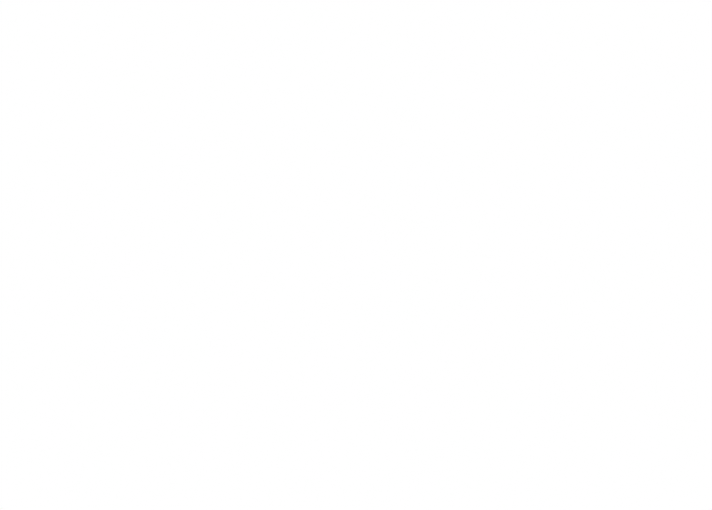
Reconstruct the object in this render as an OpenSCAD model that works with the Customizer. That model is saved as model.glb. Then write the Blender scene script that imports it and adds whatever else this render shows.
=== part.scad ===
// Small kitchen mesh strainer, about 20 cm long.
// A domed bowl of two wire cloths is clamped in a sloped sheet-metal rim. One bent wire makes
// the long looped handle and a second one makes the short rest hook opposite it.
//
// Every piece is drawn in rim coordinates: Z is the bowl's axis with the nose up, the handle
// points to -X, the rest hook to +X, and Z = 0 is the centre of the rim's rolled edge.
// The whole strainer is then leaned over until the handle's tip and the far side of the rim
// both touch the table, mouth down, as it lies when it is put aside to dry.

/* [Rim] */
// Outer diameter over the rolled edge
rim_d = 87; // [80:0.5:96]
// Width of the sloped brim, from its inner edge to the rolled edge's outermost point
brim_w = 3.4; // [3:0.1:4.5]
// Slope of the brim, down towards its outer edge, in degrees
brim_slope = 21.5; // [14:0.5:28]
// Thickness of the rim's sheet metal
sheet_t = 0.4; // [0.3:0.02:0.44]
// Outer radius of the rolled edge
roll_r = 0.8; // [0.76:0.02:1]
// Width of the lip that the roll ends in, under the brim
lip_w = 1.1; // [0.6:0.1:1.6]
// Height of the inner collar's top edge over the rolled edge's centre
collar_h = 6.3; // [4:0.1:9]

/* [Bowl] */
// Height of the nose over the rolled edge's centre
bowl_h = 45.5; // [36:0.5:60]
// Lean of the wall where it leaves the rim, in degrees from the bowl's axis
wall_lean = 24.8; // [14:0.2:32]
// How far the wall keeps that lean, as the length of the curve's lower handle
wall_pull = 6.6; // [4:0.2:12]
// How wide the nose is, as the length of the curve's upper handle
nose_pull = 17.7; // [12:0.1:24]
// Gap that shows between the bowl and the brim's inner edge
bowl_gap = 0.3; // [0.2:0.05:0.6]
// Thickness of the coarse outer cloth, two wires of 0.42
coarse_t = 0.84; // [0.6:0.02:1.1]
// Thickness of the fine inner cloth, two wires of 0.12
fine_t = 0.24; // [0.16:0.02:0.36]

/* [Wires] */
// Diameter of the handle's wire
handle_wire_d = 2.2; // [1.8:0.1:2.6]
// Diameter of the rest hook's wire
hook_wire_d = 2.2; // [1.8:0.1:2.6]

/* [Handle] */
// Reach of the handle past the rim, to the centre of its wire
handle_out = 97.6; // [70:0.5:140]
// Radius of the loop at the handle's tip, to the centre of its wire
handle_tip_r = 8; // [6:0.1:8.8]
// Distance between the legs at their welded ends, centre to centre
handle_end_w = 18.7; // [17:0.1:24]
// Distance between the legs at the bend, centre to centre
handle_bend_w = 18.25; // [17.8:0.05:23]
// How far outside the rim the handle bends
handle_bend_out = 9.7; // [7:0.1:16]
// Radius of that bend
handle_bend_r = 190; // [60:5:200]
// Slope of the grip, down towards its tip, in degrees
handle_slope = 15.06; // [9:0.02:19]

/* [Rest hook] */
// Reach of the hook past the rim, to the centre of its wire
hook_out = 15.8; // [12:0.1:24]
// Radius of the hook's tip, to the centre of its wire
hook_tip_r = 6.3; // [4.5:0.1:7.5]
// Distance between the hook's legs at their welded ends, centre to centre
hook_end_w = 20.5; // [18:0.1:24]
// Distance between the hook's legs where they leave the rim, centre to centre
hook_bend_w = 18.8; // [17:0.1:22]
// How far outside the rim the hook bends
hook_bend_out = 0.35; // [0.3:0.05:2]
// Radius of that bend
hook_bend_r = 4; // [3:0.5:6]
// Rise of the hook past its bend, in degrees
hook_rise = 5.6; // [0:0.2:12]
// How far the hook is welded out of line with the handle, in degrees
hook_turn = -4.4; // [-6:0.2:6]

/* [Hidden] */

// Clearance that keeps two pieces that touch from sharing space
slip = 0.02;
// A bent stretch of wire is thinner than the straight ones by this, and they reach into it by
// the lap, so that one unbroken wire comes out
bend_thin = 0.02;
bend_lap = 0.05;
// Steps along the curve of the bowl's wall
wall_steps = 30;
// Steps along the part of that curve that the collar follows
collar_steps = 6;
// Facets for a preview of the round shapes
round_fn = 96;
wire_fn = 32;

rim_r = rim_d / 2;
brim_in_r = rim_r - brim_w;
// The centre of the rolled edge's section, in radius and height
roll_at = [rim_r - roll_r, 0];
// Directions in the section: up the brim's slope towards the bowl, and square to it
brim_up = [-cos(brim_slope), sin(brim_slope)];
brim_off = [sin(brim_slope), cos(brim_slope)];
// Length of the brim's top sheet from the roll's centre to its inner edge
brim_len = (roll_at[0] + roll_r * sin(brim_slope) - brim_in_r) / cos(brim_slope);
// Levels of the sheets, square to the brim: top sheet, pressed cloth, collar sheet, lip
top_low = roll_r - sheet_t;
seat_low = -roll_r + sheet_t + slip;
seat_top = seat_low + sheet_t;

// A point of the section, from its distance up the brim and square to it
function brim_pt(u, v) = roll_at + u * brim_up + v * brim_off;
// Height of the brim's top face at a radius
function brim_top(r) = roll_r * cos(brim_slope) + (roll_at[0] + roll_r * sin(brim_slope) - r)
    * tan(brim_slope);

// The outer face of the bowl's wall is one cubic curve from the rim to the nose
wall_foot = [brim_in_r - bowl_gap, brim_top(brim_in_r) + bowl_gap];
lean_dir = [-sin(wall_lean), cos(wall_lean)];
wall_pts = [wall_foot, wall_foot + wall_pull * lean_dir, [nose_pull, bowl_h], [0, bowl_h]];
function wall_at(t) = pow(1 - t, 3) * wall_pts[0] + 3 * pow(1 - t, 2) * t * wall_pts[1]
    + 3 * (1 - t) * t * t * wall_pts[2] + pow(t, 3) * wall_pts[3];
function wall_way(t) = pow(1 - t, 2) * (wall_pts[1] - wall_pts[0])
    + 2 * (1 - t) * t * (wall_pts[2] - wall_pts[1]) + t * t * (wall_pts[3] - wall_pts[2]);
function unit(v) = v / norm(v);
// A point at a depth under the wall's outer face
function under_wall(t, depth) = let (way = unit(wall_way(t)))
    wall_at(t) - depth * [way[1], -way[0]];
// Where a face at a depth under the wall, carried on straight down, meets a level of the brim
function foot_pt(depth, level) = let (p = under_wall(0, depth))
    p + lean_dir * (level - (p - roll_at) * brim_off) / (lean_dir * brim_off);
// Where the wall's curve reaches a height, by halving
function wall_param(h, depth, lo = 0, hi = 0.6, n = 24) = n == 0 ? (lo + hi) / 2 :
    let (mid = (lo + hi) / 2) under_wall(mid, depth)[1] < h
    ? wall_param(h, depth, mid, hi, n - 1) : wall_param(h, depth, lo, mid, n - 1);

fine_depth = coarse_t + slip;
collar_depth = fine_depth + fine_t + slip;
collar_param = wall_param(collar_h, collar_depth);

// A bent wire's run on the brim: its end, its bend and its height come from where it touches
// the middle of the brim's top face
function end_plan(end_w) = [sqrt(brim_in_r * brim_in_r - end_w * end_w / 4), end_w / 2];
function wire_run(end_w, bend_x, bend_w, wire_d) = let (
        e = end_plan(end_w),
        b = [bend_x, bend_w / 2],
        way = unit(b - e),
        mid_r = (brim_in_r + rim_r) / 2,
        along = -(e * way) + sqrt(pow(e * way, 2) + mid_r * mid_r - e * e),
        touch = e + along * way,
        fall = tan(brim_slope) * (touch * way) / mid_r,
        touch_z = brim_top(mid_r) + (wire_d / 2 + slip) / cos(brim_slope)
    ) [[e[0], e[1], touch_z + along * fall],
       [b[0], b[1], touch_z - (norm(b - e) - along) * fall]];
// The angle in a loop's own plane by which its legs close in towards a tip of radius r
function closing(half_w, run, r) = acos(r / norm([half_w, run])) - atan2(run, half_w);

handle_reach = rim_r + handle_out;
handle_bend_x = rim_r + handle_bend_out;
handle_run = wire_run(handle_end_w, handle_bend_x, handle_bend_w, handle_wire_d);
hook_reach = rim_r + hook_out;
hook_bend_x = rim_r + hook_bend_out;
hook_run = wire_run(hook_end_w, hook_bend_x, hook_bend_w, hook_wire_d);

// Height of a loop's tip, from its bend, its reach and its slope
function tip_height(run, reach, slope) = run[1][2] - (reach - run[1][0]) * tan(slope);
handle_tip_z = tip_height(handle_run, handle_reach, handle_slope);
hook_tip_z = tip_height(hook_run, hook_reach, -hook_rise);
hook_tip_x = (hook_reach - hook_tip_r) * cos(hook_turn) + hook_tip_r;

// The lean at which the handle's tip is level with a round edge at x, z of radius r
function lean_on(x, z, r) = let (a = handle_reach + x, b = handle_tip_z - z)
    asin((handle_wire_d / 2 - r) / norm([a, b])) - atan2(b, a);
rest_lean = min(lean_on(roll_at[0], 0, roll_r), lean_on(hook_tip_x, hook_tip_z, hook_wire_d / 2));
rest_lift = -(handle_reach * sin(rest_lean) + handle_tip_z * cos(rest_lean) - handle_wire_d / 2);
far_x = hook_tip_x * cos(rest_lean) + hook_tip_z * sin(rest_lean) + hook_wire_d / 2;
near_x = -handle_reach * cos(rest_lean) + handle_tip_z * sin(rest_lean) - handle_wire_d / 2;
rest_shift = -(far_x + near_x) / 2;

// Puts a piece from rim coordinates onto the table
module rested() {
    translate([rest_shift, 0, rest_lift]) rotate([0, rest_lean, 0]) children();
}

// Places a section drawn along and square to the brim
module on_brim() {
    translate(roll_at) rotate(-brim_slope) mirror([1, 0]) children();
}

// Sloped top sheet of the rim, its outer edge rolled down and under the collar's sheet
module rim_flange() {
    color("#b9bcbe") rested() rotate_extrude($fn = round_fn) on_brim() {
        translate([0, top_low]) square([brim_len, sheet_t]);
        translate([0, -roll_r]) square([lip_w, sheet_t]);
        difference() {
            circle(r = roll_r, $fn = wire_fn);
            circle(r = roll_r - sheet_t, $fn = wire_fn);
            translate([0, -2 * roll_r]) square([2 * roll_r, 4 * roll_r]);
        }
    }
}

// Under sheet of the rim, turned up inside the bowl as a collar that clamps the cloths
module clamp_collar() {
    steps = [for (i = [0:collar_steps]) collar_param * i / collar_steps];
    last = collar_steps;
    color("#8f9396") rested() rotate_extrude($fn = round_fn) polygon(concat(
        [brim_pt(slip, seat_low), brim_pt(slip, seat_top), foot_pt(collar_depth, seat_top)],
        [for (i = [0:last]) under_wall(steps[i], collar_depth)],
        [for (i = [last:-1:0]) under_wall(steps[i], collar_depth + sheet_t)],
        [foot_pt(collar_depth + sheet_t, seat_low)]));
}

// Coarse outer cloth, as one closed skin over its wires, with its pressed edge in the rim
module coarse_mesh_bowl() {
    tongue_low = seat_top + slip;
    tongue_top = top_low - slip;
    neck = wall_foot + [0, (tongue_top - (wall_foot - roll_at) * brim_off) / brim_off[1]];
    color("#c9cbcc") rested() rotate_extrude($fn = round_fn) polygon(concat(
        [brim_pt(lip_w, tongue_low), brim_pt(lip_w, tongue_top), neck],
        [for (i = [0:wall_steps]) wall_at(i / wall_steps)],
        [for (i = [wall_steps:-1:0]) under_wall(i / wall_steps, coarse_t)],
        [foot_pt(coarse_t, tongue_low)]));
}

// Fine inner cloth, lying against the coarse one all over
module fine_mesh_lining() {
    inner = fine_depth + fine_t;
    color("#d9dadb") rested() rotate_extrude($fn = round_fn) polygon(concat(
        [foot_pt(fine_depth, seat_top + slip)],
        [for (i = [0:wall_steps]) under_wall(i / wall_steps, fine_depth)],
        [for (i = [wall_steps:-1:0]) under_wall(i / wall_steps, inner)],
        [foot_pt(inner, seat_top + slip)]));
}

// Straight piece of wire between two points
module rod(from, to, d) {
    way = unit(to - from);
    translate(from) rotate([0, acos(way[2]), atan2(way[1], way[0])])
        cylinder(h = norm(to - from), d = d, $fn = wire_fn);
}

// Stretch of wire bent round the Z axis, from the X axis through an angle
module bent(r, angle, d, fn) {
    rotate_extrude(angle = angle, $fn = fn)
        translate([r, 0]) circle(d = d - bend_thin, $fn = wire_fn);
}

// One leg of a loop: straight to its bend, round it and straight on to the tip
module leg(from, bend, to, bend_r, d) {
    way_in = unit(bend - from);
    way_out = unit(to - bend);
    turn = acos(way_in * way_out);
    back = bend_r * tan(turn / 2);
    inward = unit(way_out - (way_in * way_out) * way_in);
    start = bend - back * way_in;
    centre = start + bend_r * inward;
    side = cross(-inward, way_in);
    rod(from, start + bend_lap * way_in, d);
    multmatrix([[-inward[0], way_in[0], side[0], centre[0]],
                [-inward[1], way_in[1], side[1], centre[1]],
                [-inward[2], way_in[2], side[2], centre[2]],
                [0, 0, 0, 1]])
        bent(bend_r, turn, d, 360);
    rod(bend + (back - bend_lap) * way_out, to + bend_lap * way_out, d);
}

// A loop of wire with two legs and a round tip, pointing to +X
module loop(run, reach, slope, tip_r, bend_r, d) {
    half_w = run[1][1];
    span = (reach - run[1][0]) / cos(slope) - tip_r;
    close = closing(half_w, span, tip_r);
    // Points of the loop's plane past the bend, from the distance down the slope and the side
    tip_x = run[1][0] + span * cos(slope);
    tip_z = run[1][2] - span * sin(slope);
    joint = [tip_x + tip_r * sin(close) * cos(slope), tip_r * cos(close),
        tip_z - tip_r * sin(close) * sin(slope)];
    for (s = [1, -1]) {
        flip = [1, s, 1];
        leg([for (k = [0:2]) run[0][k] * flip[k]], [for (k = [0:2]) run[1][k] * flip[k]],
            [for (k = [0:2]) joint[k] * flip[k]], bend_r, d);
    }
    translate([tip_x, 0, tip_z]) rotate([0, slope, 0]) rotate([0, 0, close - 90])
        bent(tip_r, 180 - 2 * close, d, round_fn);
}

// Long looped handle, welded to the brim by the ends of its wire
module handle_wire() {
    color("#a9acae") rested() rotate([0, 0, 180])
        loop(handle_run, handle_reach, handle_slope, handle_tip_r, handle_bend_r, handle_wire_d);
}

// Short hook opposite the handle, which rests on the far side of a cup or bowl
module hook_wire() {
    color("#a9acae") rested() rotate([0, 0, hook_turn])
        loop(hook_run, hook_reach, -hook_rise, hook_tip_r, hook_bend_r, hook_wire_d);
}

rim_flange();
clamp_collar();
coarse_mesh_bowl();
fine_mesh_lining();
handle_wire();
hook_wire();
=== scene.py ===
"""Looks for a small kitchen mesh strainer, lying mouth down on a white table.

Shapes are worked out in rim coordinates, in millimetres: Z is the bowl's axis with the nose up,
the handle points to -X and the rest hook to +X. rested() then leans them onto the table.
"""

import math

import bpy
import numpy as np
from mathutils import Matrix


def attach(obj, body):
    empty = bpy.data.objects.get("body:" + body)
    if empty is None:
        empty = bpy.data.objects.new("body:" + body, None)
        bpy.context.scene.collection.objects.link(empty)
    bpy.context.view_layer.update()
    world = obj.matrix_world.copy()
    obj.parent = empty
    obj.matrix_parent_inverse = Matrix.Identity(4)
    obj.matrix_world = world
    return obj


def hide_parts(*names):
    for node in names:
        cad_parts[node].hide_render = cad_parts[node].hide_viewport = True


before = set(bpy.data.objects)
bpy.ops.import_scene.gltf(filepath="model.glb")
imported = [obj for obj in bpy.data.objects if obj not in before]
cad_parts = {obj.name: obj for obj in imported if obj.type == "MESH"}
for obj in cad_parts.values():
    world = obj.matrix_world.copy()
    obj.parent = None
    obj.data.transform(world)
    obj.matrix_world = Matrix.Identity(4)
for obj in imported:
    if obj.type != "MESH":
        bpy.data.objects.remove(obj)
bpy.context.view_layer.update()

MM = 0.001

# Rim, millimetres
RIM_R = 43.5
BRIM_W = 3.4
BRIM_SLOPE = math.radians(21.5)
SHEET_T = 0.4
ROLL_R = 0.8
LIP_W = 1.1
COLLAR_H = 6.3

# Bowl
BOWL_H = 45.5
WALL_LEAN = math.radians(24.8)
WALL_PULL = 6.6
NOSE_PULL = 17.7
BOWL_GAP = 0.3
COARSE_WIRE = 0.42
FINE_WIRE = 0.12

# Handle and rest hook
WIRE_R = 1.1
HANDLE_REACH = RIM_R + 97.6
HANDLE_BEND_X = RIM_R + 9.7
HOOK_REACH = RIM_R + 15.8
HOOK_BEND_X = RIM_R + 0.35
HOOK_TURN = math.radians(-4.4)

# How the strainer lies on the table: its lean, its lift and its shift from the rim's centre
REST_LEAN = math.radians(8.14343)
REST_LIFT = 6.84853
REST_SHIFT = 42.2121

SLIP = 0.02
BRIM_IN_R = RIM_R - BRIM_W
ROLL_AT = np.array([RIM_R - ROLL_R, 0.0])
BRIM_UP = np.array([-math.cos(BRIM_SLOPE), math.sin(BRIM_SLOPE)])
BRIM_OFF = np.array([math.sin(BRIM_SLOPE), math.cos(BRIM_SLOPE)])


def rested(points):
    """Rim coordinates in mm to the table's in metres: turned about Y by the lean, then moved."""
    x, y, z = points[..., 0], points[..., 1], points[..., 2]
    c, s = math.cos(REST_LEAN), math.sin(REST_LEAN)
    return MM * np.stack([x * c + z * s + REST_SHIFT, y, -x * s + z * c + REST_LIFT], -1)


def unit(v):
    """Each vector divided by its own length."""
    return v / np.linalg.norm(v, axis=-1, keepdims=True)


# Meshes


def skin(name, points, faces, replaced=(), uv=None, tint=None):
    """A smooth piece from points in rim coordinates and arrays of faces with equal corners.

    Faces are turned round if the volume that they close, the sum of each face's corner products,
    comes out negative, so that they point outwards.
    """
    co = rested(np.asarray(points, float))
    volume = 0.0
    for block in faces:
        a, b, c = co[block[:, 0]], co[block[:, 1]], co[block[:, 2]]
        volume += np.einsum("ij,ij->i", a - co[0], np.cross(b - co[0], c - co[0])).sum()
    if volume < 0:
        faces = [block[:, ::-1] for block in faces]
    mesh = bpy.data.meshes.new(name)
    corners = np.concatenate([block.ravel() for block in faces]).astype(np.int32)
    sizes = np.concatenate([np.full(len(block), block.shape[1]) for block in faces])
    starts = np.concatenate([[0], np.cumsum(sizes)[:-1]]).astype(np.int32)
    mesh.vertices.add(len(co))
    mesh.vertices.foreach_set("co", co.astype(np.float32).ravel())
    mesh.loops.add(len(corners))
    mesh.loops.foreach_set("vertex_index", corners)
    mesh.polygons.add(len(starts))
    mesh.polygons.foreach_set("loop_start", starts)
    mesh.update(calc_edges=True)
    mesh.validate()
    mesh.polygons.foreach_set("use_smooth", np.ones(len(mesh.polygons), bool))
    if uv is not None:
        layer = mesh.uv_layers.new(name="weave")
        layer.data.foreach_set("uv", uv[corners].astype(np.float32).ravel())
    if tint is not None:
        layer = mesh.attributes.new("tint", "FLOAT", "POINT")
        layer.data.foreach_set("value", tint.astype(np.float32))
    piece = bpy.data.objects.new(name, mesh)
    bpy.context.scene.collection.objects.link(piece)
    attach(piece, "root")
    if replaced:
        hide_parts(*replaced)
    return piece


def grid_faces(rows, cols, wrap_rows=False, wrap_cols=False, start=0):
    """Corners of the quads between neighbours on a grid, closed on itself where asked."""
    r = np.arange(rows if wrap_rows else rows - 1)
    c = np.arange(cols if wrap_cols else cols - 1)
    r, c = np.meshgrid(r, c, indexing="ij")
    r2, c2 = (r + 1) % rows, (c + 1) % cols
    quads = np.stack([r * cols + c, r * cols + c2, r2 * cols + c2, r2 * cols + c], -1)
    return quads.reshape(-1, 4) + start


def turned(profile, steps, drift=None):
    """A closed section of radius and height carried round the Z axis.

    Point (a, k) is the section's point k at angle a: (r cos a, r sin a, z). drift adds a small
    change of height at each angle.
    """
    a = np.linspace(0, 2 * np.pi, steps, endpoint=False)[:, None]
    r, z = profile[None, :, 0], profile[None, :, 1]
    if drift is not None:
        z = z + drift(a)
    points = np.stack([r * np.cos(a), r * np.sin(a), z + 0 * a], -1)
    return points.reshape(-1, 3), grid_faces(steps, len(profile), True, True)


def eased(corners, radius, steps=5):
    """A closed outline with each corner rounded.

    Each corner is swapped for a quadratic curve between the points at the given distance before
    and after it, or half-way to its neighbour where that is nearer.
    """
    corners = np.asarray(corners, float)
    before, after = np.roll(corners, 1, 0), np.roll(corners, -1, 0)
    to_b, to_a = before - corners, after - corners
    len_b = np.linalg.norm(to_b, axis=1, keepdims=True)
    len_a = np.linalg.norm(to_a, axis=1, keepdims=True)
    p = corners + to_b / len_b * np.minimum(radius, len_b / 2.01)
    q = corners + to_a / len_a * np.minimum(radius, len_a / 2.01)
    t = np.linspace(0, 1, steps)[None, :, None]
    curve = (1 - t) ** 2 * p[:, None] + 2 * (1 - t) * t * corners[:, None] + t**2 * q[:, None]
    return curve.reshape(-1, 2)


def tube(path, radius, up, sides, round_ends=True):
    """A round tube along a path.

    Ring k is path[k] + radius * (cos a * side + sin a * top), where side is square to the path
    and to the up vector, and top is square to both. Rounded ends draw the last rings in along a
    quarter circle, and one flat face closes each end.
    """
    path = np.asarray(path, float)
    way = unit(np.gradient(path, axis=0))
    radii = np.full(len(path), float(radius))
    if round_ends:
        t = np.linspace(0, 1, 5)[:-1]
        ease = 0.22 * radius
        ends = []
        for end, out in ((path[0], -way[0]), (path[-1], way[-1])):
            ends.append(end + out * ease * np.sqrt(1 - t**2)[:, None])
        shrink = radius - ease * (1 - t[::-1])
        path = np.concatenate([ends[0], path[1:-1], ends[1][::-1]])
        radii = np.concatenate([shrink[::-1] * 0 + radius - ease * (1 - t), radii[1:-1], shrink])
        way = np.concatenate([np.repeat(way[:1], 4, 0), way[1:-1], np.repeat(way[-1:], 4, 0)])
        up = up if np.ndim(up) == 1 else np.concatenate(
            [np.repeat(up[:1], 4, 0), up[1:-1], np.repeat(up[-1:], 4, 0)])
    side = unit(np.cross(way, up))
    top = np.cross(side, way)
    a = np.linspace(0, 2 * np.pi, sides, endpoint=False)[None, :, None]
    rings = path[:, None] + radii[:, None, None] * (np.cos(a) * side[:, None] + np.sin(a) * top[:, None])
    n = len(path)
    first = np.arange(sides)[None, ::-1]
    return rings.reshape(-1, 3), [grid_faces(n, sides, False, True), first, first[:, ::-1] + (n - 1) * sides]


# The bowl's wall


def wall_curve(steps=1200):
    """The wall's outer face in radius and height, from the nose to the rim and on into the clamp.

    A cubic curve with its two inner points on the wall's lean and level with the nose, then the
    lean's straight line. Gives arc length from the nose, points and outward normals.
    """
    foot = np.array([BRIM_IN_R - BOWL_GAP, brim_top(BRIM_IN_R) + BOWL_GAP])
    lean = np.array([-math.sin(WALL_LEAN), math.cos(WALL_LEAN)])
    p = [foot, foot + WALL_PULL * lean, np.array([NOSE_PULL, BOWL_H]), np.array([0.0, BOWL_H])]
    t = np.linspace(1, 0, steps)[:, None]
    pts = (1 - t) ** 3 * p[0] + 3 * (1 - t) ** 2 * t * p[1] + 3 * (1 - t) * t**2 * p[2] + t**3 * p[3]
    way = (1 - t) ** 2 * (p[1] - p[0]) + 2 * (1 - t) * t * (p[2] - p[1]) + t**2 * (p[3] - p[2])
    run = np.linspace(0.02, 1.6, 30)[:, None]
    pts = np.concatenate([pts, foot - run * lean])
    way = unit(np.concatenate([way, lean + 0 * run]))
    out = np.stack([way[:, 1], -way[:, 0]], -1)
    s = np.concatenate([[0], np.cumsum(np.linalg.norm(np.diff(pts, axis=0), axis=1))])
    return s, pts, out


def brim_top(r):
    """Height of the brim's top face at a radius: its slope's line, level with the roll's top."""
    level = ROLL_R * math.cos(BRIM_SLOPE)
    return level + (ROLL_AT[0] + ROLL_R * math.sin(BRIM_SLOPE) - r) * math.tan(BRIM_SLOPE)


WALL_S, WALL_PTS, WALL_OUT = wall_curve()
WALL_LEN = float(np.interp(BRIM_IN_R - BOWL_GAP, WALL_PTS[:1200, 0], WALL_S[:1200]))


def on_wall(s, phi, depth):
    """Points at arc length s from the nose, azimuth phi and a depth under the wall's outer face."""
    r = np.interp(s, WALL_S, WALL_PTS[:, 0])
    z = np.interp(s, WALL_S, WALL_PTS[:, 1])
    nr = np.interp(s, WALL_S, WALL_OUT[:, 0])
    nz = np.interp(s, WALL_S, WALL_OUT[:, 1])
    r = r - depth * nr
    return np.stack([r * np.cos(phi), r * np.sin(phi), z - depth * nz], -1)


# How the flat cloth lies on the dome once it is drawn: rows of crossings counted along the
# handle's line and across it, from the nose to the rim, and how much the cloth is drawn in there
ROWS_LONG = 49.65
ROWS_WIDE = 87.2
DRAWN_IN = 2.2
# The cloth stretches on its bias and bunches along its threads: fourfold give of the rows
GIVE_LONG = (-20.1, 11.6)
GIVE_WIDE = (7.5, -4.3)


def rows_at(p, q):
    """Rows along and across at a wall point, given as arc length times cos and sin of azimuth.

    Along: a straight count less a cubic, times cos, plus the give times cos of three azimuths.
    Across: the same with sin.
    """
    s = np.hypot(p, q) / WALL_LEN
    phi = np.arctan2(q, p)
    long = (ROWS_LONG * s - DRAWN_IN * s**3) * np.cos(phi)
    wide = (ROWS_WIDE * s - DRAWN_IN * s**3) * np.sin(phi)
    long += (GIVE_LONG[0] * s**3 + GIVE_LONG[1] * s**4) * np.cos(3 * phi)
    wide += (GIVE_WIDE[0] * s**3 + GIVE_WIDE[1] * s**4) * np.sin(3 * phi)
    return long, wide


def wall_point_of(warp, weft):
    """Arc length and azimuth where two thread counts meet, by Newton's method on whole arrays."""
    long, wide = warp + weft, warp - weft
    p, q = long / ROWS_LONG * WALL_LEN, wide / ROWS_WIDE * WALL_LEN
    step = 1e-3
    for _ in range(24):
        a, b = rows_at(p, q)
        ap, bp = rows_at(p + step, q)
        aq, bq = rows_at(p, q + step)
        j11, j12, j21, j22 = (ap - a) / step, (aq - a) / step, (bp - b) / step, (bq - b) / step
        det = j11 * j22 - j12 * j21
        det = np.where(np.abs(det) < 0.2, 0.2, det)
        e, f = long - a, wide - b
        p = p + np.clip((e * j22 - f * j12) / det, -3, 3)
        q = q + np.clip((f * j11 - e * j21) / det, -3, 3)
    return np.hypot(p, q), np.arctan2(q, p)


def cloth_threads(along_warp, wire_d, depth, steps, sides):
    """One set of threads of the woven cloth, each a tube that goes over and under the others.

    A thread keeps its own count whole while the other count runs on. Its centre stands off the
    cloth's middle by wire radius times cos(pi * (both counts)), so it tops every second crossing.
    """
    reach = 70
    own = np.arange(-reach, reach + 1)
    run = np.arange(-reach * steps, reach * steps + 1) / steps
    o, r = np.meshgrid(own, run, indexing="ij")
    s, phi = wall_point_of(o, r) if along_warp else wall_point_of(r, o)
    stand = 0.5 * wire_d * np.cos(np.pi * (o + r)) * (1 if along_warp else -1)
    top = WALL_LEN + 1.0
    inside = s < top
    centre = on_wall(s, phi, depth - stand)
    normal = unit(on_wall(s, phi, depth - 1.0) - on_wall(s, phi, depth))
    threads = []
    for k in range(len(own)):
        held = np.flatnonzero(inside[k])
        if len(held) < 3 * steps:
            continue
        held = held[:1 + int(np.argmax(np.append(np.diff(held) > 1, True)))]
        threads.append((own[k], tube(centre[k, held], wire_d / 2, normal[k, held], sides, False)))
    return threads


def cloth_piece(name, threads, replaced=()):
    """Threads gathered into one piece, their faces counted on from one thread to the next."""
    points, quads, ends, start = [], [], [], 0
    for pts, faces in threads:
        points.append(pts)
        quads.append(faces[0] + start)
        ends += [faces[1] + start, faces[2] + start]
        start += len(pts)
    blocks = [np.concatenate(quads), np.concatenate(ends)]
    return skin(name, np.concatenate(points), blocks, replaced)


COARSE_DEPTH = COARSE_WIRE
warp = cloth_threads(True, COARSE_WIRE, COARSE_DEPTH, 4, 6)
weft = cloth_threads(False, COARSE_WIRE, COARSE_DEPTH, 4, 6)
coarse_pieces = []
for label, threads in (("warp", warp), ("weft", weft)):
    for side, keep in (("near", lambda k: k < 0), ("far", lambda k: k >= 0)):
        chosen = [t for k, t in threads if keep(k)]
        replaced = ("coarse_mesh_bowl",) if label == "warp" and side == "near" else ()
        coarse_pieces.append(cloth_piece(f"coarse_{label}_{side}", chosen, replaced))


def fine_sheet():
    """The fine cloth as one thin sheet under the coarse one, on a grid of arc length and azimuth.

    Its UV map counts the fine cloth's own threads, three to each coarse one.
    """
    rows, cols = 150, 480
    s = np.linspace(0.0, WALL_LEN + 0.8, rows)[:, None]
    phi = np.linspace(0, 2 * np.pi, cols, endpoint=False)[None, :]
    depth = 2 * COARSE_WIRE + SLIP + FINE_WIRE
    pts = on_wall(np.maximum(s, 0.05) + 0 * phi, phi + 0 * s, depth)
    long, wide = rows_at(s * np.cos(phi), s * np.sin(phi))
    uv = np.stack([(long + wide) / 2, (long - wide) / 2], -1).reshape(-1, 2) * FINE_PER_COARSE
    faces = [grid_faces(rows, cols, False, True), np.arange(cols)[None, ::-1]]
    return skin("fine_mesh", pts.reshape(-1, 3), faces, ("fine_mesh_lining",), uv)


FINE_PER_COARSE = 3.1
fine_mesh = fine_sheet()

# The rim


def brim_pt(u, v):
    """A point of the section, from its distance up the brim and square to it."""
    return ROLL_AT + u * BRIM_UP + v * BRIM_OFF


def flange_section():
    """Section of the top sheet: its flat, the half round of the roll and the lip under it."""
    length = (ROLL_AT[0] + ROLL_R * math.sin(BRIM_SLOPE) - BRIM_IN_R) / math.cos(BRIM_SLOPE)
    inner = ROLL_R - SHEET_T
    turn = np.linspace(math.pi / 2, 3 * math.pi / 2, 22)
    outer_arc = [brim_pt(ROLL_R * math.cos(a), ROLL_R * math.sin(a)) for a in turn]
    inner_arc = [brim_pt(inner * math.cos(a), inner * math.sin(a)) for a in turn[::-1]]
    flat = np.linspace(length, 0.15, 8)
    ease = 0.1
    start = [brim_pt(length, ROLL_R - ease), brim_pt(length - ease * 0.3, ROLL_R - ease * 0.3),
             brim_pt(length - ease, ROLL_R)]
    top = [brim_pt(u, ROLL_R) for u in flat[1:]]
    lip = [brim_pt(LIP_W, -ROLL_R), brim_pt(LIP_W, -inner)]
    under = [brim_pt(u, inner) for u in flat[::-1]]
    return np.array(start + top + outer_arc + lip + inner_arc + under)


def collar_section():
    """Section of the under sheet: level under the brim, then up along the inside of the cloths."""
    depth = 2 * COARSE_WIRE + SLIP + 2 * FINE_WIRE + SLIP
    low = -ROLL_R + SHEET_T + SLIP
    ss = np.linspace(WALL_LEN, WALL_LEN - 6.0, 60)
    face = np.stack([np.hypot(*on_wall(ss, 0.0, depth)[:, :2].T), on_wall(ss, 0.0, depth)[:, 2]], -1)
    back = on_wall(ss, 0.0, depth + SHEET_T)
    back = np.stack([back[:, 0], back[:, 2]], -1)
    rise = face[:, 1] < COLLAR_H
    face, back = face[rise], back[rise]
    lean = np.array([-math.sin(WALL_LEAN), math.cos(WALL_LEAN)])

    def foot(point, level):
        return point + lean * (level - (point - ROLL_AT) @ BRIM_OFF) / (lean @ BRIM_OFF)

    corners = [brim_pt(SLIP, low), brim_pt(SLIP, low + SHEET_T), foot(face[0], low + SHEET_T)]
    corners += list(face[::6]) + list(back[::-6]) + [foot(back[0], low)]
    return eased(corners, 0.35, 5)


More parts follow.
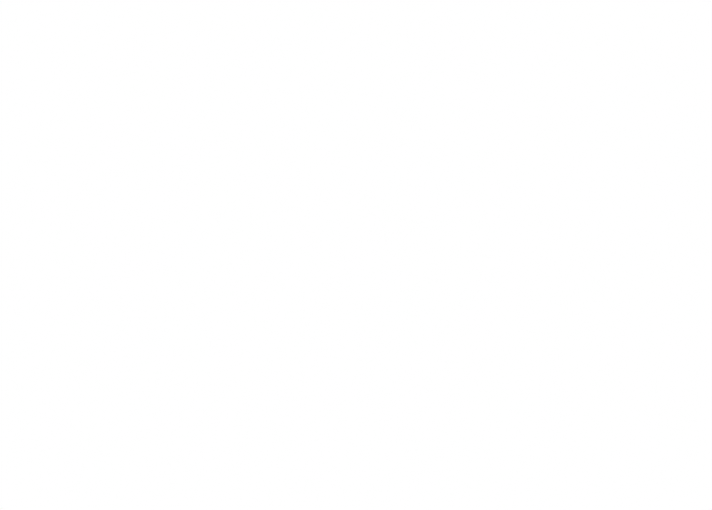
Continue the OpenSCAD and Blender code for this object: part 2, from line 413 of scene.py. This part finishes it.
def settle(a):
    """Slight waves of a pressed rim: three low sine waves round it, a few hundredths of a mm."""
    return 0.03 * np.sin(3 * a + 0.6) + 0.02 * np.sin(7 * a + 2.1) + 0.012 * np.sin(13 * a)


pts, quads = turned(flange_section(), 480, settle)
flange = skin("brim_sheet", pts, [quads], ("rim_flange",))
pts, quads = turned(collar_section(), 480)
collar = skin("collar_sheet", pts, [quads], ("clamp_collar",))

# The two bent wires


def wire_run(end_w, bend_x, bend_w):
    """A wire's welded end and its bend, where its straight run touches the brim's middle."""
    e = np.array([math.sqrt(BRIM_IN_R**2 - end_w**2 / 4), end_w / 2])
    b = np.array([bend_x, bend_w / 2])
    way = unit(b - e)
    mid_r = (BRIM_IN_R + RIM_R) / 2
    along = -(e @ way) + math.sqrt((e @ way) ** 2 + mid_r**2 - e @ e)
    touch = e + along * way
    fall = math.tan(BRIM_SLOPE) * (touch @ way) / mid_r
    z = brim_top(mid_r) + (WIRE_R + SLIP) / math.cos(BRIM_SLOPE)
    far = np.linalg.norm(b - e) - along
    return np.array([*e, z + along * fall]), np.array([*b, z - far * fall])


def loop_path(end_w, bend_x, bend_w, reach, slope, tip_r, bend_r, step=1.5):
    """Centre line of a loop that points to +X.

    Straight from the welded end, round the bend on an arc, straight to where it meets the tip's
    circle, round the tip, and back the same way with Y turned over.
    """
    start, bend = wire_run(end_w, bend_x, bend_w)
    half_w = bend[1]
    span = (reach - bend[0]) / math.cos(slope) - tip_r
    close = math.acos(tip_r / math.hypot(half_w, span)) - math.atan2(span, half_w)
    down = np.array([math.cos(slope), 0, -math.sin(slope)])
    middle = np.array([bend[0], 0, bend[2]]) + span * down
    joint = middle + tip_r * (math.sin(close) * down + np.array([0, math.cos(close), 0]))
    way_in, way_out = unit(bend - start), unit(joint - bend)
    turn = math.acos(way_in @ way_out)
    back = bend_r * math.tan(turn / 2)
    inward = unit(way_out - (way_in @ way_out) * way_in)
    arc_from = bend - back * way_in
    centre = arc_from + bend_r * inward
    a = np.linspace(0, turn, max(6, int(bend_r * turn / step)))[:, None]
    arc = centre + bend_r * (np.sin(a) * way_in - np.cos(a) * inward)
    n_in = max(3, int(np.linalg.norm(arc_from - start) / step))
    n_out = max(3, int(np.linalg.norm(joint - arc[-1]) / step))
    first = start + np.linspace(0, 1, n_in, endpoint=False)[:, None] * (arc_from - start)
    last = arc[-1] + np.linspace(0, 1, n_out, endpoint=False)[1:, None] * (joint - arc[-1])
    tip_a = np.linspace(math.pi / 2 - close, 0, 26)[:, None]
    tip = middle + tip_r * (np.cos(tip_a) * down + np.sin(tip_a) * np.array([0, 1.0, 0]))
    half = np.concatenate([first, arc, last, tip])
    return np.concatenate([half, half[-2::-1] * [1, -1, 1]])


def spun(points, angle):
    """Points turned about the bowl's axis."""
    c, s = math.cos(angle), math.sin(angle)
    return np.stack([points[:, 0] * c - points[:, 1] * s, points[:, 0] * s + points[:, 1] * c,
                     points[:, 2]], -1)


handle_path = spun(loop_path(18.7, HANDLE_BEND_X, 18.25, HANDLE_REACH, math.radians(15.06), 8.0, 190.0),
                   math.pi)
pts, faces = tube(handle_path, WIRE_R, np.array([0, 0, 1.0]), 28)
handle = skin("handle_loop", pts, faces, ("handle_wire",))
hook_path = spun(loop_path(20.5, HOOK_BEND_X, 18.8, HOOK_REACH, math.radians(-5.6), 6.3, 4.0, 0.6), HOOK_TURN)
pts, faces = tube(hook_path, WIRE_R, np.array([0, 0, 1.0]), 28)
hook = skin("rest_hook", pts, faces, ("hook_wire",))

# Materials


def colour(text):
    """An sRGB hex colour as linear values."""
    v = [int(text[i:i + 2], 16) / 255 for i in (1, 3, 5)]
    return [c / 12.92 if c <= 0.04045 else ((c + 0.055) / 1.055) ** 2.4 for c in v] + [1.0]


def new_material(name):
    """An empty node material with its output."""
    m = bpy.data.materials.new(name)
    m.use_nodes = True
    m.node_tree.nodes.clear()
    return m, m.node_tree, add(m.node_tree, "ShaderNodeOutputMaterial")


def add(tree, kind, settings=None, inputs=None):
    """Adds a node, sets its properties, and sets or links its inputs by name or place."""
    node = tree.nodes.new(kind)
    for key, value in (settings or {}).items():
        setattr(node, key, value)
    for key, value in (inputs or {}).items():
        if isinstance(value, bpy.types.NodeSocket):
            tree.links.new(value, node.inputs[key])
        else:
            node.inputs[key].default_value = value
    return node


def paint(piece, material):
    """Gives a piece its one material."""
    piece.data.materials.clear()
    piece.data.materials.append(material)


# Bright drawn stainless wire: a hard, smooth skin with faint lines left along it by the die
m, t, out = new_material("drawn_stainless_wire")
where = add(t, "ShaderNodeTexCoord")
lines = add(t, "ShaderNodeTexNoise", None, {"Vector": where.outputs["Object"], "Scale": 900.0, "Detail": 2.0})
rough = add(t, "ShaderNodeMapRange", None, {"Value": lines.outputs["Fac"], "To Min": 0.10, "To Max": 0.24})
shade = add(t, "ShaderNodeBsdfPrincipled", None, {
    "Base Color": colour("#c6c5c4"), "Metallic": 1.0, "Roughness": rough.outputs["Result"]})
t.links.new(shade.outputs[0], out.inputs["Surface"])
paint(handle, m)
paint(hook, m)

# Spun stainless sheet, brushed round the rim
m, t, out = new_material("brushed_stainless_brim")
where = add(t, "ShaderNodeTexCoord")
grain = add(t, "ShaderNodeTexNoise", None, {"Vector": where.outputs["Object"], "Scale": 700.0, "Detail": 3.0})
rough = add(t, "ShaderNodeMapRange", None, {"Value": grain.outputs["Fac"], "To Min": 0.18, "To Max": 0.34})
shade = add(t, "ShaderNodeBsdfPrincipled", None, {
    "Base Color": colour("#c4c3c2"), "Metallic": 1.0, "Roughness": rough.outputs["Result"]})
t.links.new(shade.outputs[0], out.inputs["Surface"])
paint(flange, m)

# Plain stainless sheet of the collar. Its colour is set darker than the brim's, as painted shade for the shadow it
# stands in behind the cloths
m, t, out = new_material("stainless_collar_painted_shade")
shade = add(t, "ShaderNodeBsdfPrincipled", None, {
    "Base Color": colour("#a9a8a7"), "Metallic": 1.0, "Roughness": 0.35})
t.links.new(shade.outputs[0], out.inputs["Surface"])
paint(collar, m)

# Woven bright stainless wire of the coarse cloth
m, t, out = new_material("woven_stainless_wire")
shade = add(t, "ShaderNodeBsdfPrincipled", None, {
    "Base Color": colour("#cfcfd0"), "Metallic": 1.0, "Roughness": 0.28})
t.links.new(shade.outputs[0], out.inputs["Surface"])
for piece in coarse_pieces:
    paint(piece, m)

# Fine stainless cloth: threads 0.12 mm thick, three to each coarse one, with see-through holes
m, t, out = new_material("fine_stainless_cloth")
uv = add(t, "ShaderNodeUVMap", {"uv_map": "weave"})
axes = add(t, "ShaderNodeSeparateXYZ", None, {"Vector": uv.outputs["UV"]})
bars = []
for axis in ("X", "Y"):
    near = add(t, "ShaderNodeMath", {"operation": "PINGPONG"}, {0: axes.outputs[axis], 1: 0.5})
    bars.append(add(t, "ShaderNodeMath", {"operation": "LESS_THAN"}, {0: near.outputs[0], 1: 0.17}))
solid = add(t, "ShaderNodeMath", {"operation": "MAXIMUM"}, {0: bars[0].outputs[0], 1: bars[1].outputs[0]})
shade = add(t, "ShaderNodeBsdfPrincipled", None, {
    "Base Color": colour("#cfcfd0"), "Metallic": 1.0, "Roughness": 0.4, "Alpha": solid.outputs[0]})
t.links.new(shade.outputs[0], out.inputs["Surface"])
paint(fine_mesh, m)

# White table

floor_mesh = bpy.data.meshes.new("table")
half = 6.0
floor_mesh.from_pydata([(-half, -half, 0), (half, -half, 0), (half, half, 0), (-half, half, 0)], [],
                       [(0, 1, 2, 3)])
floor = bpy.data.objects.new("table", floor_mesh)
bpy.context.scene.collection.objects.link(floor)
m, t, out = new_material("white_table_board")
rays = add(t, "ShaderNodeLightPath")
board = add(t, "ShaderNodeBsdfDiffuse", None, {"Color": colour("#eeeeee")})
glow = add(t, "ShaderNodeEmission", None, {"Color": (1, 1, 1, 1), "Strength": 0.32})
both = add(t, "ShaderNodeAddShader", None, {0: board.outputs[0], 1: glow.outputs[0]})
mix = add(t, "ShaderNodeMixShader", None, {0: rays.outputs["Is Camera Ray"], 1: board.outputs[0], 2: both.outputs[0]})
t.links.new(mix.outputs[0], out.inputs["Surface"])
paint(floor, m)

# Light: a dark ceiling, a pale band round the horizon and two soft boxes

world = bpy.data.worlds.new("studio")
bpy.context.scene.world = world
world.use_nodes = True
t = world.node_tree
t.nodes.clear()
way = add(t, "ShaderNodeTexCoord")
axes = add(t, "ShaderNodeSeparateXYZ", None, {"Vector": way.outputs["Generated"]})
high = add(t, "ShaderNodeMapRange", {"interpolation_type": "SMOOTHSTEP"}, {
    "Value": axes.outputs["Z"], "From Min": 0.30, "From Max": 0.85, "To Min": 0.85, "To Max": 0.08})
rays = add(t, "ShaderNodeLightPath")
tone = add(t, "ShaderNodeMix", {"data_type": "FLOAT"}, {
    0: rays.outputs["Is Camera Ray"], 2: high.outputs["Result"], 3: 1.0})
sky = add(t, "ShaderNodeBackground", None, {"Color": (1, 1, 1, 1), "Strength": tone.outputs[0]})
out = add(t, "ShaderNodeOutputWorld", None, {"Surface": sky.outputs[0]})


def soft_box(name, azimuth, elevation, distance, width, height, radiance):
    """A square lamp at an azimuth and elevation from the bowl, facing it.

    Its power is radiance times its area times pi.
    """
    a, e = math.radians(azimuth), math.radians(elevation)
    way = np.array([math.cos(e) * math.cos(a), math.cos(e) * math.sin(a), math.sin(e)])
    lamp = bpy.data.lights.new(name, "AREA")
    lamp.shape = "RECTANGLE"
    lamp.size, lamp.size_y = width, height
    lamp.energy = radiance * width * height * math.pi
    holder = bpy.data.objects.new(name, lamp)
    holder.location = BOWL_CENTRE + distance * way
    holder.rotation_euler = (math.pi / 2 - e, 0, a + math.pi / 2)
    holder.visible_camera = False
    bpy.context.scene.collection.objects.link(holder)
    return holder


BOWL_CENTRE = np.array([0.045, 0.0, 0.02])
soft_box("soft_box_right", 75, 34, 1.3, 1.0, 1.2, 1.9)
soft_box("soft_box_left", -132, 40, 1.3, 0.7, 0.75, 2.0)

# Camera: a long lens, rolled so that the handle runs up to the left


def place_camera():
    """The camera on its azimuth, elevation and roll about the bowl, in rim coordinates.

    The rim's centre lands at a chosen pixel, and the lens keeps a chosen number of pixels to
    each millimetre there.
    """
    azimuth, elevation, roll = math.radians(-70.91), math.radians(32.39), math.radians(-36.80)
    aim_px, px_per_mm, focal_px, image_w = (111.9, 72.9), 3.754, 3650.0, 712
    back = np.array([math.cos(elevation) * math.cos(azimuth), math.cos(elevation) * math.sin(azimuth),
                     math.sin(elevation)])
    level = np.array([-math.sin(azimuth), math.cos(azimuth), 0.0])
    down = np.cross(-back, level)
    right = math.cos(roll) * level + math.sin(roll) * down
    down = -math.sin(roll) * level + math.cos(roll) * down
    far = focal_px / px_per_mm
    spot = (aim_px[0] / px_per_mm, aim_px[1] / px_per_mm)
    place = back * far - right * spot[0] - down * spot[1]
    origin = rested(np.zeros(3))
    axes = [(rested(v) - origin) / MM for v in (right, -down, back)]
    cam = bpy.data.cameras.new("camera")
    cam.sensor_width = 36.0
    cam.lens = 36.0 * focal_px / image_w
    cam.clip_start, cam.clip_end = 0.01, 50.0
    holder = bpy.data.objects.new("camera", cam)
    matrix = np.eye(4)
    matrix[:3, :3] = np.stack(axes, 1)
    matrix[:3, 3] = rested(place)
    holder.matrix_world = [list(row) for row in matrix.T] if False else matrix.tolist()
    bpy.context.scene.collection.objects.link(holder)
    bpy.context.scene.camera = holder


place_camera()
bpy.context.scene.view_settings.view_transform = "Standard"
